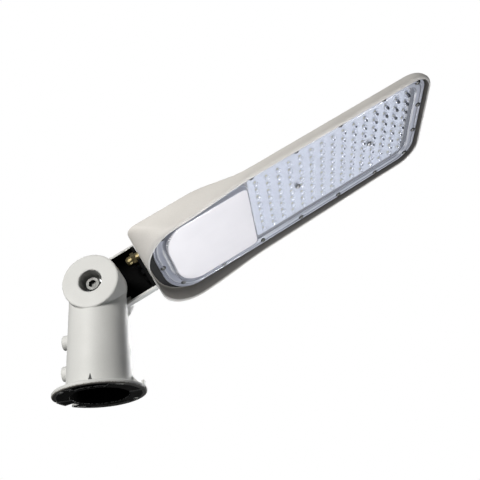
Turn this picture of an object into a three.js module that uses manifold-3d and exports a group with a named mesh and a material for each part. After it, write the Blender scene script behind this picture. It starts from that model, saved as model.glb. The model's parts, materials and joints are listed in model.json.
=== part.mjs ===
// LED street luminaire on a tilting pole adapter.
// Millimetres, +Z up. The origin is the middle of the adapter's foot, where it meets the pole.
// The pole's socket runs up +Z, the lamp head points along +X and its light faces down.

import * as THREE from 'three';
import { mergeVertices } from 'three/addons/utils/BufferGeometryUtils.js';
import Module from 'manifold-3d';

const wasm = await Module();
wasm.setup();

// ---------------------------------------------------------------- driving dimensions

const runGap = 0.3;            // left between pieces that touch
const threadGap = 0.3;         // radial gap between a screw and its hole

// pole adapter
const poleDiameter = 60;
const poleGap = 0.5;           // radial gap between pole and socket
const poleInsertion = 78;      // how far the pole goes in before it meets the stop under the shelf
const poleStopLip = 4.5;       // how far the stop reaches inwards
const tubeFootWall = 4.5;
const tubeHeadWall = 1.3;      // what the taper would leave at the height of the pivot
const pivotHeight = 117.5;
const pivotForward = 1.5;
const drumRadius = 31.5;
const drumFaceProud = 1.7;     // outer face of each drum beyond the tube
const matingGap = 0.5;         // between the middle plane and each half drum
const drumEdgeRound = 1.5;
const shelfGap = 2;            // between the tube's shelf and the rear half drum
const drumRingWidth = 4.5;     // friction ring on each mating face
const drumPocketFloor = 9;     // front wall behind the ring pocket

// flange at the foot
const flangeOverhang = 13.8;   // beyond the foot of the tube
const flangeThickness = 4.6;
const flangeEdgeRound = 1.3;
const flangeSlotOut = 8;       // middle of each slot beyond the foot of the tube
const flangeSlotLength = 10;
const flangeSlotWidth = 4.6;
const flangeSlotCount = 4;
const flangePocketDepth = 2.2;
const flangePocketInset = 4;   // rim left round the pocket
const flangePocketHalfAngle = 30;
const flangeGrooveWidth = 3;
const flangeGrooveDepth = 2.4;
const cableNotchWidth = 9;
const cableNotchAngle = 152;
const rimLugWidth = 11;
const rimLugDepth = 3.2;
const rimLugHeight = 4.2;      // above the flange
const gussetLength = 11.5;
const gussetHeight = 12.5;
const gussetThickness = 3;
const indexMarkHeight = 7;
const indexMarkWidth = 4;
const indexMarkDepth = 0.9;

// clamp screws that grip the pole
const clampBossRadius = 8.2;
const clampBossProud = 4.8;    // beyond the foot of the tube
const clampScrewHeights = [29, 63.5];
const clampScrewRadius = 4;
const clampScrewLength = 10;
const clampScrewSocket = 4;    // across flats
const clampScrewSink = 0.8;    // below the boss face

// pivot bolt, nut and washers
const boltRadius = 5;
const boltHoleGap = 0.5;
const boltHeadOverhang = 3;
const boltHeadHeight = 10;
const boltSocket = 8;          // across flats
const boltHeadSink = 8.5;      // below the drum face
const washerOverhang = 5.5;    // beyond the bolt
const washerThickness = 2;
const nutWall = 3.5;           // across flats, beyond the bolt on either side
const nutHeight = 8;
const nutSink = 3.4;           // below the rear drum face
const recessGap = 2.2;         // round the washer
const pivotBossWall = 4.3;     // round the recess

// neck between pivot and housing
const neckRadius = 32.4;
const neckRise = 1.1;          // the neck's centre line lies this far above the pivot
const neckWall = 3;
const neckPlate = 4;
const cableWindowStart = 175;  // the hub is open towards the tube between these angles
const cableWindowEnd = 275;
const neckScrewSpots = [[4, -5], [22, -6], [21, 6]];
const neckScrewRadius = 2.5;
const neckScrewHeadRadius = 4.4;
const neckScrewHeadHeight = 3.2;
const neckScrewGrip = 6;       // length inside the housing's end wall

// cable gland and earth terminal inside the neck
const glandSpot = [4.5, 17];
const glandThreadRadius = 6;
const glandFlats = 14;
const glandBodyHeight = 4.5;
const glandCapHeight = 7;
const glandCapRadius = 6.2;
const glandCableRadius = 3.2;
const glandStem = 5;
const earthSpot = [16.5, 14.5];
const earthScrewRadius = 2;
const earthHeadRadius = 3.6;
const earthHeadHeight = 2.6;
const earthTagThickness = 1;
const earthTagRadius = 4.6;
const earthTailLength = 6;
const earthTailWidth = 4.4;
const earthTailAngle = 229;    // from +Y towards +Z

// lamp head, measured from the pivot along the head
const headTilt = 24.5;         // degrees above level
const bodyStart = 58.5;
const bodyEnd = 441;
const bodyHalfWidth = 81.5;     // at the tip
const driverEndExtra = 5;      // extra half width at the driver end of the taper
const taperStart = bodyStart + 131.5; // the sides draw in from here to the tip
const nearCornerLong = 44;     // at the rim
const nearCornerWide = 50;
const backCornerLong = 11;     // at the back, where the near end is squarer
const backCornerWide = 13;
const tipCorner = 30;
const rimWidth = 4.5;
const tipRimDepth = 20.2;      // rim edge below the pivot line, at the tip
const rimTaper = 0.0125;       // and deeper by this much for each millimetre back from the tip
const driverRimExtra = 5.2;    // deeper still round the driver
const lampBandTop = 14;        // where the outer wall turns over to the back
const driverBandTop = 16;
const tipBackEdge = 5;         // edge of the back below the pivot line, at the tip
const backTaper = 0.0155;
const driverBackEdge = 3.5;    // and above the pivot line round the driver
const lampBackDepth = 1;       // back surface on the centre line, below the pivot line
const driverBackHeight = 30;   // back surface over the driver
// the rim comes up from the driver's depth between these places
const rimSlope = [bodyStart + 46.5, bodyStart + 146.5];
const bandSlope = [bodyStart + 61.5, bodyStart + 169.5];
const backEdgeSlope = [bodyStart + 76.5, bodyStart + 144.5];
// the raised back falls between these places, on the centre line
const backSlope = [bodyStart + 101.5, bodyStart + 181.5];
const openingNearGap = 1.6;    // wall left between the end face and the opening
const openingCornerLong = 44;
const openingCornerWide = 64;
const seatDepth = 10.5;        // ledge that carries the gasket
const boardFloorDepth = 8;     // floor behind the light board
const ledgeWidth = 9;
const ledgeThickness = 5;
const driverBayStart = bodyStart + 10.5;
const bayMouthInset = 1;       // mouth of the bay, inside the lens's raised cap
const driverBayLength = 123;
const driverBayWall = 21.5;    // from the side of the body to the bay
const driverBayRoof = 5;       // roof left over the driver
const finCount = 7;
const finThickness = 2.4;
const finHeight = 3;
const finStart = bodyStart + 193.5;
const finEnd = bodyEnd - 17;
const finEdgeInset = 20;       // outermost fin from the side of the body

// lens, gasket and light board
const gasketThickness = 1.4;
const gasketWidth = 7;
const lensThickness = 2.5;
const lensEdgeGap = 1.4;
const lensStart = bodyStart + 11.5;
const lensCornerLong = 36;
const lensCornerWide = 58;
const lensRaise = 4.6;         // raised cap over the driver bay
const lensCapWall = 1.8;
const lensCapTop = 1.2;        // thickness over the cover plate
const lensCapStart = bodyStart + 26;
const lensCapLength = 110;
const lensCapSide = 16.5;      // from the side of the body to the raised cap
const lensCapCornerLong = 25.5;
const lensCapCornerWide = 31.5;
const lensCapTipCorner = 9;
const boardThickness = 1.6;
const boardMargin = 3;
const innerLedgeEnd = 6;       // more ledge at the tip than along the sides
const boardStart = bodyStart + 139.5;
const coverPlateThickness = 1.5;
const coverPlateInset = 0.5;
const lensScrewRadius = 2;
const lensScrewHeadRadius = 3.4;
const lensScrewHeadHeight = 2.2;
const lensScrewLength = 7;
const sideScrewFirst = bodyStart + 84.5;
const sideScrewLast = bodyEnd - 66;
const sideScrewCount = 5;
const sideScrewInset = 9.5;    // from the outer face of the body
const tipScrewOffset = 24;     // either side of the centre line
const tipScrewInset = 11.5;    // from the tip
const nearScrewLong = bodyStart + 15.5;
const nearCornerScrew = [bodyStart + 29, bodyHalfWidth - 24.5];
const tipCornerScrew = [bodyEnd - 18.5, bodyHalfWidth - 14.5];
const centreScrewSpots = [boardStart + 60.5, bodyEnd - 79.5];
const centreScrewGrip = 1.6;

// driver and terminal block
const driverLength = 94;
const driverWidth = 56;
const driverHeight = 24;
const driverStart = driverBayStart + 20;
const driverFoot = 3;
const driverFootLength = 9;
const driverFootHalfWidth = 11;
const driverLift = 4;          // base of the driver above the gasket's ledge
const driverScrewRadius = 2;
const driverScrewHeadRadius = 3.8;
const terminalInset = 14;      // from the end of the driver
const terminalGap = 4;         // between the driver and the block
const terminalLift = 3;
const terminalLength = 26;
const terminalWidth = 14;
const terminalHeight = 13;

// smoothness
const roundSides = 36;
const smallSides = 16;
const holeSides = 8;
const smallHoleSides = 12;
const screwSides = 8;
const cornerSteps = 7;

// ---------------------------------------------------------------- materials

function finish(colour, roughness, metalness) {
  return new THREE.MeshStandardMaterial({ color: colour, roughness, metalness });
}

const adapterPaint = () => finish(0xc8c8c3, 0.62, 0.1);
const housingPaint = () => finish(0xcfcac2, 0.6, 0.1);
const steel = () => finish(0xb8babd, 0.3, 0.95);
const brass = () => finish(0xb79a58, 0.35, 0.9);
const blackRubber = () => finish(0x111112, 0.8, 0);
const clearPlastic = () => finish(0xd9dfea, 0.12, 0);
const boardWhite = () => finish(0xdfe3ea, 0.5, 0);
const plateWhite = () => finish(0xeceaec, 0.45, 0);
const driverGrey = () => finish(0x9a9da0, 0.45, 0.6);
const terminalNylon = () => finish(0xe6e2d6, 0.6, 0);

// ---------------------------------------------------------------- solids

// A closed three.js geometry becomes a solid that can be joined and cut.
function solid(geometry) {
  const bare = geometry.index ? geometry.toNonIndexed() : geometry;
  bare.deleteAttribute('normal');
  bare.deleteAttribute('uv');
  const merged = mergeVertices(bare, 1e-4);
  const mesh = new wasm.Mesh({
    numProp: 3,
    vertProperties: Float32Array.from(merged.attributes.position.array),
    triVerts: Uint32Array.from(dropThinTriangles(merged.index.array)),
  });
  return new wasm.Manifold(mesh);
}

// Triangles whose corners were merged into one another are left out.
function dropThinTriangles(indices) {
  const kept = [];
  for (let i = 0; i < indices.length; i += 3) {
    const [a, b, c] = [indices[i], indices[i + 1], indices[i + 2]];
    if (a !== b && b !== c && c !== a) kept.push(a, b, c);
  }
  return kept;
}

function toGeometry(body) {
  const mesh = body.getMesh();
  const geometry = new THREE.BufferGeometry();
  geometry.setAttribute('position', new THREE.BufferAttribute(Float32Array.from(mesh.vertProperties), 3));
  geometry.setIndex(new THREE.BufferAttribute(Uint32Array.from(mesh.triVerts), 1));
  geometry.computeVertexNormals();
  return geometry;
}

function block(x0, x1, y0, y1, z0, z1) {
  const geometry = new THREE.BoxGeometry(x1 - x0, y1 - y0, z1 - z0);
  geometry.translate((x0 + x1) / 2, (y0 + y1) / 2, (z0 + z1) / 2);
  return solid(geometry);
}

// A solid of revolution about +Z from [radius, height] pairs that start and end on the axis.
function turned(profile, sides = roundSides) {
  const points = profile.map(([radius, height]) => new THREE.Vector2(radius, height));
  const geometry = new THREE.LatheGeometry(points, sides);
  geometry.rotateX(Math.PI / 2);
  return geometry;
}

function rod(radius, z0, z1, sides = roundSides) {
  return turned([[0, z0], [radius, z0], [radius, z1], [0, z1]], sides);
}

function taperedRod(radius0, radius1, z0, z1) {
  return turned([[0, z0], [radius0, z0], [radius1, z1], [0, z1]]);
}

const alongX = (geometry) => geometry.rotateY(Math.PI / 2);
const alongY = (geometry) => geometry.rotateX(-Math.PI / 2);

// A prism from a closed outline in the XY plane.
function prism(outline, z0, z1) {
  const shape = new THREE.Shape(outline.map(([x, y]) => new THREE.Vector2(x, y)));
  const geometry = new THREE.ExtrudeGeometry(shape, { depth: z1 - z0, bevelEnabled: false });
  geometry.translate(0, 0, z0);
  return geometry;
}

// A hexagonal prism by its distance across flats.
function hexPrism(acrossFlats, z0, z1) {
  return rod(acrossFlats / Math.sqrt(3), z0, z1, 6);
}

function degrees(angle) {
  return THREE.MathUtils.degToRad(angle);
}

// 0 before a, 1 after b, and a smooth change between them.
function ease(a, b, x) {
  return THREE.MathUtils.smoothstep(x, a, b);
}

function mix(a, b, t) {
  return a + (b - a) * t;
}

// ---------------------------------------------------------------- scene graph

const lamp = new THREE.Group();
const head = new THREE.Group();
head.position.set(pivotForward, 0, pivotHeight);
head.rotation.y = -degrees(headTilt);
lamp.add(head);

function addPart(parent, name, shape, material) {
  const geometry = shape.isBufferGeometry ? toGeometry(solid(shape)) : toGeometry(shape);
  const mesh = new THREE.Mesh(geometry, material);
  mesh.name = name;
  parent.add(mesh);
  return mesh;
}

// ---------------------------------------------------------------- pole adapter

const boreRadius = poleDiameter / 2 + poleGap;
const tubeFootRadius = boreRadius + tubeFootWall;
const tubeHeadRadius = boreRadius + tubeHeadWall;
const flangeRadius = tubeFootRadius + flangeOverhang;
const clampBossReach = tubeFootRadius + clampBossProud;
const drumHalfWidth = tubeHeadRadius + drumFaceProud;
const boltHeadRadius = boltRadius + boltHeadOverhang;
const washerRadius = boltRadius + washerOverhang;
const nutAcrossFlats = (boltRadius + nutWall) * 2;
const recessRadius = washerRadius + recessGap;
const pivotBossRadius = recessRadius + pivotBossWall;
const shelfHeight = pivotHeight - drumRadius - shelfGap;
const boltSeat = -drumHalfWidth + boltHeadSink + boltHeadHeight + runGap + washerThickness + runGap;
const nutOuterFace = drumHalfWidth - nutSink;
const nutSeat = nutOuterFace - nutHeight - runGap - washerThickness - runGap;

function tubeRadiusAt(z) {
  return mix(tubeFootRadius, tubeHeadRadius, z / pivotHeight);
}

// A round drum on the pivot axis, from y0 to y1, with its outer edge rounded.
function halfDrum(y0, y1, roundAt) {
  const steps = 3;
  const profile = [[0, y0]];
  const rounded = (y, inward) => {
    const corner = [];
    for (let i = 0; i <= steps; i += 1) {
      const angle = (Math.PI / 2) * (i / steps);
      corner.push([
        drumRadius - drumEdgeRound * (1 - Math.sin(angle)),
        y + inward * drumEdgeRound * (1 - Math.cos(angle)),
      ]);
    }
    return corner;
  };
  if (roundAt === 'start') {
    profile.push(...rounded(y0, 1), [drumRadius, y1]);
  } else {
    profile.push([drumRadius, y0], ...rounded(y1, -1).reverse());
  }
  profile.push([0, y1]);
  return solid(alongY(turned(profile)));
}

function ringAlongY(outer, inner, y0, y1) {
  return solid(alongY(rod(outer, y0, y1))).subtract(solid(alongY(rod(inner, y0 - 1, y1 + 1))));
}

function buildFlange() {
  const r = flangeEdgeRound;
  const edge = [[0, 0], [flangeRadius - r, 0], [flangeRadius - r * 0.3, r * 0.3], [flangeRadius, r],
    [flangeRadius, flangeThickness - r], [flangeRadius - r * 0.3, flangeThickness - r * 0.3],
    [flangeRadius - r, flangeThickness], [0, flangeThickness]];
  let flange = solid(turned(edge, 56));
  const lug = block(flangeRadius - rimLugDepth, flangeRadius, -rimLugWidth / 2, rimLugWidth / 2,
    flangeThickness / 2, flangeThickness + rimLugHeight);
  const gussetOutline = [[0, 0], [gussetLength, 0], [0, gussetHeight]];
  const gusset = prism(gussetOutline, -gussetThickness / 2, gussetThickness / 2);
  gusset.rotateX(Math.PI / 2);
  gusset.translate(tubeRadiusAt(flangeThickness) - 1, 0, flangeThickness - 0.2);
  flange = flange.add(lug).add(solid(gusset));
  return flange;
}

// Slots, pockets, grooves and the cable notch, all cut from below.
function flangeCuts() {
  const cuts = [];
  const deep = flangeThickness + 2;
  for (let i = 0; i < flangeSlotCount; i += 1) {
    const angle = 45 + (360 / flangeSlotCount) * i;
    const half = flangeSlotWidth / 2;
    const reach = flangeSlotLength / 2 - half;
    const outline = [];
    for (let k = 0; k <= 4; k += 1) {
      const turn = -Math.PI / 2 + (Math.PI * k) / 4;
      outline.push([half * Math.sin(turn), reach + half * Math.cos(turn)]);
    }
    for (let k = 0; k <= 4; k += 1) {
      const turn = Math.PI / 2 + (Math.PI * k) / 4;
      outline.push([half * Math.sin(turn), -reach + half * Math.cos(turn)]);
    }
    const slot = prism(outline.reverse(), -1, deep);
    slot.translate(tubeFootRadius + flangeSlotOut, 0, 0);
    slot.rotateZ(degrees(angle));
    cuts.push(solid(slot));
  }
  const pocketInner = boreRadius + flangePocketInset;
  const pocketOuter = flangeRadius - flangePocketInset;
  for (const centre of [-90, 90]) {
    const outline = [];
    const steps = 6;
    for (let k = 0; k <= steps; k += 1) {
      const angle = degrees(centre - flangePocketHalfAngle + (2 * flangePocketHalfAngle * k) / steps);
      outline.push([pocketOuter * Math.cos(angle), pocketOuter * Math.sin(angle)]);
    }
    for (let k = steps; k >= 0; k -= 1) {
      const angle = degrees(centre - flangePocketHalfAngle + (2 * flangePocketHalfAngle * k) / steps);
      outline.push([pocketInner * Math.cos(angle), pocketInner * Math.sin(angle)]);
    }
    cuts.push(solid(prism(outline, -1, flangePocketDepth)));
  }
  const halfGroove = flangeGrooveWidth / 2;
  const past = flangeRadius + 2;
  cuts.push(block(boreRadius - 3, past, -halfGroove, halfGroove, -1, flangeGrooveDepth));
  cuts.push(block(-past, 3 - boreRadius, -halfGroove, halfGroove, -1, flangeGrooveDepth));
  const notch = new THREE.BoxGeometry(flangeRadius - tubeFootRadius + 6, cableNotchWidth, deep + 2);
  notch.translate((flangeRadius + tubeFootRadius) / 2 + 3.4, 0, deep / 2 - 1);
  notch.rotateZ(degrees(cableNotchAngle));
  cuts.push(solid(notch));
  return cuts;
}

function clampBoss(z) {
  const boss = turned([[0, 0], [clampBossRadius, 0], [clampBossRadius, clampBossReach - 1.2],
    [clampBossRadius - 0.4, clampBossReach - 0.3], [clampBossRadius - 1.2, clampBossReach],
    [0, clampBossReach]], 24);
  boss.rotateY(-Math.PI / 2);
  boss.translate(0, 0, z);
  return solid(boss);
}

// The half of the tube that rises behind the front drum's face, up to the pivot height.
function frontCheek() {
  const base = shelfHeight - 1;
  const tube = solid(taperedRod(tubeRadiusAt(base), tubeHeadRadius, base, pivotHeight));
  const wide = tubeFootRadius + 5;
  return tube.subtract(block(-wide, wide, -matingGap, wide, shelfHeight, pivotHeight + 1));
}

function buildAdapter() {
  const frontDrum = halfDrum(-drumHalfWidth, -matingGap, 'start')
    .translate([pivotForward, 0, pivotHeight]);
  const ringPocket = ringAlongY(drumRadius - drumRingWidth, pivotBossRadius,
    -drumHalfWidth + drumPocketFloor, 0).translate([pivotForward, 0, pivotHeight]);
  const recess = solid(alongY(rod(recessRadius, -drumHalfWidth - 1, boltSeat)))
    .translate([pivotForward, 0, pivotHeight]);
  const boltHole = solid(alongY(rod(boltRadius + boltHoleGap, -drumHalfWidth, 1, 24)))
    .translate([pivotForward, 0, pivotHeight]);
  let casting = solid(taperedRod(tubeFootRadius, tubeRadiusAt(shelfHeight), 0, shelfHeight));
  casting = casting.add(frontCheek()).add(frontDrum).add(buildFlange());
  for (const z of clampScrewHeights) casting = casting.add(clampBoss(z));
  casting = casting.subtract(solid(rod(boreRadius, -1, poleInsertion)));
  casting = casting.subtract(solid(rod(boreRadius - poleStopLip, -1, shelfHeight + 0.5)));
  casting = casting.subtract(recess).subtract(ringPocket).subtract(boltHole);
  for (const z of clampScrewHeights) {
    const hole = solid(alongX(rod(clampScrewRadius + threadGap, -clampBossReach - 1, -boreRadius + 4, 24)));
    casting = casting.subtract(hole.translate([0, 0, z]));
  }
  for (const cut of flangeCuts()) casting = casting.subtract(cut);
  const markBase = flangeThickness + 3.5;
  const mark = prism([[-indexMarkWidth / 2, 0], [indexMarkWidth / 2, 0], [0, indexMarkHeight]], 0, 4);
  mark.rotateX(Math.PI / 2);
  mark.translate(pivotForward, indexMarkDepth - tubeRadiusAt(markBase + indexMarkHeight / 2), markBase);
  return casting.subtract(solid(mark));
}

addPart(lamp, 'pole_adapter', buildAdapter(), adapterPaint());

['lower', 'upper'].forEach((place, index) => {
  const outer = -clampBossReach + clampScrewSink;
  let screw = solid(alongX(rod(clampScrewRadius, outer, outer + clampScrewLength, 20)));
  const socket = alongX(hexPrism(clampScrewSocket, outer - 1, outer + clampScrewSocket));
  screw = screw.subtract(solid(socket)).translate([0, 0, clampScrewHeights[index]]);
  addPart(lamp, `${place}_clamp_screw`, screw, steel());
});

// ---------------------------------------------------------------- pivot fastening

function onPivot(geometry) {
  geometry.translate(pivotForward, 0, pivotHeight);
  return geometry;
}

function buildPivotBolt() {
  const headTop = -drumHalfWidth + boltHeadSink;
  const headBase = headTop + boltHeadHeight;
  const tip = nutOuterFace + 1.5;
  const profile = [[0, headTop], [boltHeadRadius - 0.8, headTop], [boltHeadRadius, headTop + 0.8],
    [boltHeadRadius, headBase], [boltRadius, headBase], [boltRadius, tip - 1], [boltRadius - 1, tip],
    [0, tip]];
  const socket = alongY(hexPrism(boltSocket, headTop - 1, headTop + boltHeadHeight / 2));
  return solid(onPivot(alongY(turned(profile, 24)))).subtract(solid(onPivot(socket)));
}

function pivotWasher(seat, outward) {
  const near = seat + outward * runGap;
  const far = near + outward * washerThickness;
  const [y0, y1] = [Math.min(near, far), Math.max(near, far)];
  const ring = solid(alongY(rod(washerRadius, y0, y1, 24)));
  return ring.subtract(solid(alongY(rod(boltRadius + boltHoleGap, y0 - 1, y1 + 1, smallSides))))
    .translate([pivotForward, 0, pivotHeight]);
}

function buildPivotNut() {
  const inner = nutOuterFace - nutHeight;
  const corner = nutAcrossFlats / Math.sqrt(3);
  const chamfer = turned([[0, inner], [corner - 0.4, inner], [corner + 0.1, inner + 0.8],
    [corner + 0.1, nutOuterFace - 0.8], [corner - 0.8, nutOuterFace], [0, nutOuterFace]], smallSides);
  const thread = rod(boltRadius + threadGap, inner - 1, nutOuterFace + 1, smallSides);
  const hex = solid(alongY(hexPrism(nutAcrossFlats, inner, nutOuterFace)));
  return hex.intersect(solid(alongY(chamfer))).subtract(solid(alongY(thread)))
    .translate([pivotForward, 0, pivotHeight]);
}

addPart(lamp, 'pivot_bolt', buildPivotBolt(), steel());
addPart(lamp, 'front_pivot_washer', pivotWasher(boltSeat, -1), steel());
addPart(lamp, 'rear_pivot_washer', pivotWasher(nutSeat, 1), steel());
addPart(lamp, 'pivot_nut', buildPivotNut(), steel());

// ---------------------------------------------------------------- neck bracket

// Everything on the lamp head is drawn level, in the head's own frame: X away from the pivot,
// Z up out of the back. Depths below the pivot line are positive numbers and become -Z.

const neckEnd = bodyStart - runGap;

// A wedge of space round the pivot axis, between two angles measured from +X towards +Z.
function wedgeAlongY(start, end, radius, y0, y1) {
  const outline = [[0, 0]];
  const steps = 10;
  for (let k = 0; k <= steps; k += 1) {
    const angle = degrees(mix(start, end, k / steps));
    outline.push([radius * Math.cos(angle), radius * Math.sin(angle)]);
  }
  const wedge = prism(outline, -y1, -y0);
  wedge.rotateX(Math.PI / 2);
  return solid(wedge);
}

function buildNeck() {
  const rearDrum = halfDrum(matingGap, drumHalfWidth, 'end');
  const outerTube = solid(alongX(rod(neckRadius, 0, neckEnd))).translate([0, 0, neckRise]);
  const half = outerTube.subtract(block(-1, neckEnd + 1, -neckRadius - 1, matingGap, -60, 60));
  const innerRadius = neckRadius - neckWall;
  const frontDisc = matingGap + 5;
  const rearDisc = drumHalfWidth - 5.5;
  let hollow = solid(alongX(rod(innerRadius, 8, neckEnd - neckPlate))).translate([0, 0, neckRise]);
  const discSpace = solid(alongY(rod(drumRadius + 0.01, -1, frontDisc)));
  const bossSpace = solid(alongY(rod(pivotBossRadius, -1, drumHalfWidth + 1)));
  hollow = hollow.subtract(discSpace).subtract(bossSpace);
  hollow = hollow.subtract(block(-1, drumRadius, rearDisc, drumHalfWidth + 1, -60, 60));
  const hubHollow = ringAlongY(drumRadius - neckWall, pivotBossRadius, frontDisc, rearDisc);
  const window = wedgeAlongY(cableWindowStart, cableWindowEnd, drumRadius + 5, frontDisc, rearDisc)
    .subtract(bossSpace);
  const recess = solid(alongY(rod(recessRadius, nutSeat, drumHalfWidth + 1)));
  const boltHole = solid(alongY(rod(boltRadius + boltHoleGap, -1, drumHalfWidth, 24)));
  let neck = rearDrum.add(half).subtract(hubHollow).subtract(hollow).subtract(window);
  neck = neck.subtract(recess).subtract(boltHole);
  const plateHole = (spot, radius, sides) => {
    const hole = alongX(rod(radius + threadGap, neckEnd - neckPlate - 1, neckEnd + 1, sides));
    hole.translate(0, ...spot);
    return solid(hole);
  };
  neck = neck.subtract(plateHole(glandSpot, glandThreadRadius, smallSides));
  for (const spot of neckScrewSpots) neck = neck.subtract(plateHole(spot, neckScrewRadius, smallHoleSides));
  return neck.subtract(plateHole(earthSpot, earthScrewRadius, smallHoleSides));
}

addPart(head, 'neck_bracket', buildNeck(), adapterPaint());

// A pan-head screw along +X: its head sits against headFace and its shank runs on from there.
function panScrew(headFace, headRadius, headHeight, radius, length) {
  const top = headFace - headHeight;
  return turned([[0, top], [headRadius * 0.7, top], [headRadius, top + headHeight * 0.45],
    [headRadius, headFace], [radius, headFace], [radius, headFace + length],
    [0, headFace + length]], screwSides);
}

const plateFace = neckEnd - neckPlate;

neckScrewSpots.forEach((spot, index) => {
  const length = neckPlate + runGap * 2 + neckScrewGrip;
  const screw = alongX(panScrew(plateFace - runGap, neckScrewHeadRadius, neckScrewHeadHeight,
    neckScrewRadius, length));
  screw.translate(0, ...spot);
  addPart(head, `neck_screw_${index + 1}`, screw, steel());
});

// ---------------------------------------------------------------- cable gland and earth terminal

function buildGlandBody() {
  const face = plateFace - runGap;
  const hex = hexPrism(glandFlats, face - glandBodyHeight, face);
  const stem = rod(glandThreadRadius, face - 1, face + neckPlate + runGap * 2 + glandStem, smallSides);
  const neck = rod(glandCapRadius - 1.6, face - glandBodyHeight - 4, face, smallSides);
  const bore = rod(glandCableRadius + 0.9, face - 30, face + 30, smallSides);
  const body = solid(alongX(hex)).add(solid(alongX(stem))).add(solid(alongX(neck)));
  return body.subtract(solid(alongX(bore))).translate([0, ...glandSpot]);
}

function buildGlandCap() {
  const base = plateFace - runGap - glandBodyHeight - runGap;
  const top = base - glandCapHeight;
  const shell = turned([[0, top], [glandCableRadius + 1.4, top], [glandCapRadius - 0.6, top + 1.6],
    [glandCapRadius, top + 3], [glandCapRadius, base], [0, base]], smallSides);
  const bore = rod(glandCableRadius + 0.4, top - 1, base + 1, smallSides);
  const seat = rod(glandCapRadius - 1.3, top + 2.6, base + 1, smallSides);
  return solid(alongX(shell)).subtract(solid(alongX(bore))).subtract(solid(alongX(seat)))
    .translate([0, ...glandSpot]);
}

function buildGlandSeal() {
  const outer = glandCableRadius + 0.6;
  const inner = glandCableRadius - 0.8;
  const near = plateFace - runGap - glandBodyHeight - glandCapHeight;
  const ring = rod(outer, near + 3.2, plateFace - 1, smallSides);
  const hole = rod(inner, near - 1, plateFace + 1, smallSides);
  return solid(alongX(ring)).subtract(solid(alongX(hole))).translate([0, ...glandSpot]);
}

addPart(head, 'gland_body', buildGlandBody(), brass());
addPart(head, 'gland_cap', buildGlandCap(), brass());
addPart(head, 'gland_seal', buildGlandSeal(), blackRubber());

function buildEarthTag() {
  const face = plateFace - runGap;
  const washer = solid(alongX(rod(earthTagRadius, face - earthTagThickness, face, smallSides)));
  const half = earthTailWidth / 2;
  const tail = new THREE.BoxGeometry(earthTagThickness, earthTailLength, earthTailWidth);
  tail.translate(face - earthTagThickness / 2, earthTailLength / 2 + half, 0);
  tail.rotateX(degrees(earthTailAngle));
  const hole = solid(alongX(rod(earthScrewRadius + threadGap, face - 5, face + 1, smallSides)));
  return washer.add(solid(tail)).subtract(hole).translate([0, ...earthSpot]);
}

function buildEarthScrew() {
  const face = plateFace - runGap * 2 - earthTagThickness;
  const length = earthTagThickness + neckPlate + runGap * 3 + 4;
  const screw = alongX(panScrew(face, earthHeadRadius, earthHeadHeight, earthScrewRadius, length));
  screw.translate(0, ...earthSpot);
  return screw;
}

addPart(head, 'earth_tag', buildEarthTag(), brass());
addPart(head, 'earth_screw', buildEarthScrew(), steel());

// ---------------------------------------------------------------- paddle-shaped outlines

// Half width of the body at x, as a share of its half width at the tip.
function widen(x) {
  const along = THREE.MathUtils.clamp((bodyEnd - x) / (bodyEnd - taperStart), 0, 1);
  return 1 + (driverEndExtra / bodyHalfWidth) * along;
}

// A closed outline, the same number of points whatever its size: elliptical corners at the
// near end, round corners at the tip, and sides that are stepped along their length.
function paddle({ start, end, halfWidth, nearLong, nearWide, tip, follow = true }) {
  const tipRadius = Math.min(tip, halfWidth);
  const nearSide = [];
  for (let k = 0; k <= cornerSteps; k += 1) {
    const angle = (Math.PI / 2) * (k / cornerSteps);
    nearSide.push([
      start + nearLong * (1 - Math.cos(angle)),
      halfWidth - nearWide * (1 - Math.sin(angle)),
    ]);
  }
  const sideStart = start + nearLong;
  const sideEnd = end - tipRadius;
  const sides = [];
  for (let k = 1; k < cornerSteps; k += 1) {
    sides.push([mix(sideStart, sideEnd, k / cornerSteps), halfWidth]);
  }
  const tipSide = [];
  for (let k = 0; k <= cornerSteps; k += 1) {
    const angle = (Math.PI / 2) * (k / cornerSteps);
    tipSide.push([sideEnd + tipRadius * Math.sin(angle), halfWidth - tipRadius * (1 - Math.cos(angle))]);
  }
  const half = [...nearSide, ...sides, ...tipSide];
  const shaped = half.map(([x, y]) => [x, follow ? y * widen(x) : y]);
  const mirrored = shaped.map(([x, y]) => [x, -y]);
  return [...mirrored, ...shaped.reverse()];
}

// Heights along the body of its rim, its crease, the edge of its back and the middle of its back.
const rimZ = (x) => -tipRimDepth - rimTaper * (bodyEnd - x) - driverRimExtra * (1 - ease(...rimSlope, x));
const bandTopZ = (x) => -mix(driverBandTop, lampBandTop, ease(...bandSlope, x));
const lampBackEdgeZ = (x) => -tipBackEdge - backTaper * (bodyEnd - x);
const backEdgeZ = (x) => mix(driverBackEdge, lampBackEdgeZ(x), ease(...backEdgeSlope, x));
const backMidZ = (x) => mix(driverBackHeight, -lampBackDepth, ease(...backSlope, x));

// The outside of the body, drawn in by inset. Its near corners go from the rim's, at square 0,
// to the back's, at square 1.
function bodyOutline(inset, square, share = 1) {
  return paddle({
    start: bodyStart + inset * mix(0.5, 0.2, square),
    end: bodyEnd - inset,
    halfWidth: (bodyHalfWidth - inset) * share,
    nearLong: mix(nearCornerLong, backCornerLong, square) * share,
    nearWide: (mix(nearCornerWide, backCornerWide, square) - inset * 0.5) * share,
    tip: (tipCorner - inset * 0.5) * share,
  });
}

function openingOutline(inset) {
  return paddle({
    start: bodyStart + openingNearGap + inset,
    end: bodyEnd - rimWidth - inset,
    halfWidth: bodyHalfWidth - rimWidth - inset,
    nearLong: openingCornerLong - inset * 0.5,
    nearWide: openingCornerWide - inset,
    tip: tipCorner - rimWidth - inset * 0.5,
  });
}

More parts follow.
